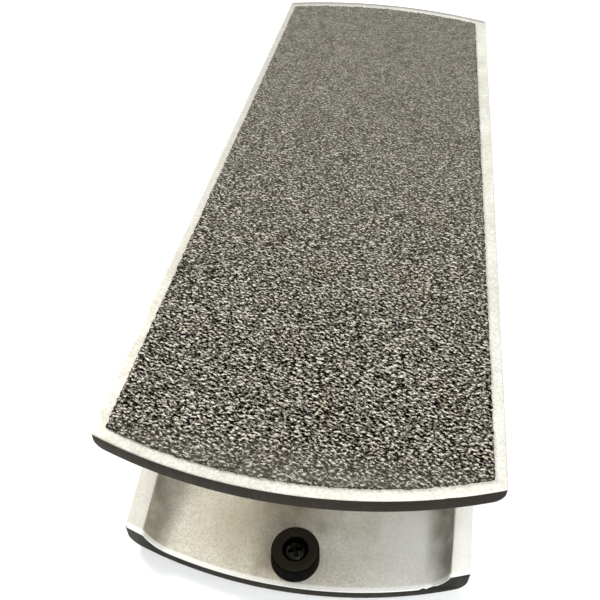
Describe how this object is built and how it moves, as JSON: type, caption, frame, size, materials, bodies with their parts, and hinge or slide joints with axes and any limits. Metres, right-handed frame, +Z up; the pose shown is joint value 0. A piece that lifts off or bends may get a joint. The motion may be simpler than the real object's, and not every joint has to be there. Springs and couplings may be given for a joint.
{
  "type": "volume pedal",
  "caption": "Rocking foot treadle with a grit sheet on an aluminium channel base; a cord under the treadle turns the volume potentiometer between an input and an output jack.",
  "frame": {"origin": "on the floor under the rubber feet, at the middle of the base's length and width", "axes": "+Y along the pedal from heel to toe, +Z up, +X to the right; the treadle's pivot axis is along X"},
  "size_m": [0.09, 0.2544, 0.0462],
  "materials": {
    "base_metal": "satin, worn extrusion",
    "treadle_metal": "satin, worn extrusion",
    "grit": "coarse mineral grit, grey and black",
    "black_rubber": "matte rubber",
    "black_screw": "black oxide",
    "steel": "bright ground steel",
    "spring_steel": "spring steel",
    "plated_steel": "nickel plate",
    "bronze": "sintered bronze",
    "brass": "turned brass",
    "nylon": "natural nylon",
    "phenolic": "laminated phenolic",
    "board": "glass epoxy board",
    "black_plastic": "moulded plastic",
    "red_wire": "PVC insulation",
    "yellow_wire": "PVC insulation",
    "black_wire": "PVC insulation",
    "blue_wire": "PVC insulation",
    "cord": "braided waxed cord"
  },
  "bodies": {
    "base": {"base_channel": "base_metal", "base_feet": "black_rubber", "heel_bumper": "black_rubber", "heel_bumper_screw": "black_screw", "toe_bumper": "black_rubber", "toe_bumper_screw": "black_screw", "pivot_shaft": "steel", "left_shaft_clip": "spring_steel", "right_shaft_clip": "spring_steel", "left_spacer": "nylon", "right_spacer": "nylon", "input_jack_frame": "plated_steel", "input_jack_contact": "brass", "input_jack_insulators": "phenolic", "input_jack_washer": "plated_steel", "input_jack_nut": "plated_steel", "output_jack_frame": "plated_steel", "output_jack_contact": "brass", "output_jack_insulators": "phenolic", "output_jack_washer": "plated_steel", "output_jack_nut": "plated_steel", "pot_bracket": "plated_steel", "bracket_screws": "plated_steel", "pot_front": "plated_steel", "pot_can": "plated_steel", "pot_wafer": "phenolic", "pot_terminals": "plated_steel", "pot_washer": "plated_steel", "pot_nut": "plated_steel", "taper_board": "board", "board_standoffs": "nylon", "board_screws": "plated_steel", "taper_switch_body": "plated_steel", "input_wire": "red_wire", "output_wire": "yellow_wire", "ground_link_wire": "black_wire", "ground_wire": "black_wire", "taper_wire": "blue_wire"},
    "treadle": {"treadle": "treadle_metal", "grip_sheet": "grit", "left_bushing": "bronze", "right_bushing": "bronze", "heel_cord_post": "plated_steel", "toe_spring_post": "plated_steel", "cord_heel_run": "cord", "cord_toe_run": "cord", "tension_spring": "spring_steel"},
    "pot_drum": {"pot_shaft": "brass", "pot_rotor": "phenolic", "cord_drum": "brass", "drum_set_screw": "black_screw", "cord_turns": "cord"},
    "taper_lever": {"taper_switch_lever": "black_plastic"}
  },
  "joints": [
    {"name": "treadle_pivot", "type": "hinge", "parent": "base", "child": "treadle", "pos_m": [0, 0, 0.028], "axis": [1, 0, 0], "range_deg": [-9.1, 14.2], "deforming": ["tension_spring", "cord_heel_run", "cord_toe_run"]},
    {"name": "pot_spin", "type": "hinge", "parent": "base", "child": "pot_drum", "pos_m": [0, 0, 0.013], "axis": [1, 0, 0], "range_deg": [-76, 118.5]},
    {"name": "taper_slide", "type": "slide", "parent": "base", "child": "taper_lever", "axis": [0, 1, 0], "range_m": [0, 0.002]}
  ],
  "couplings": [
    {"joint": "pot_spin", "follows": "treadle_pivot", "ratio": 8.3}
  ]
}
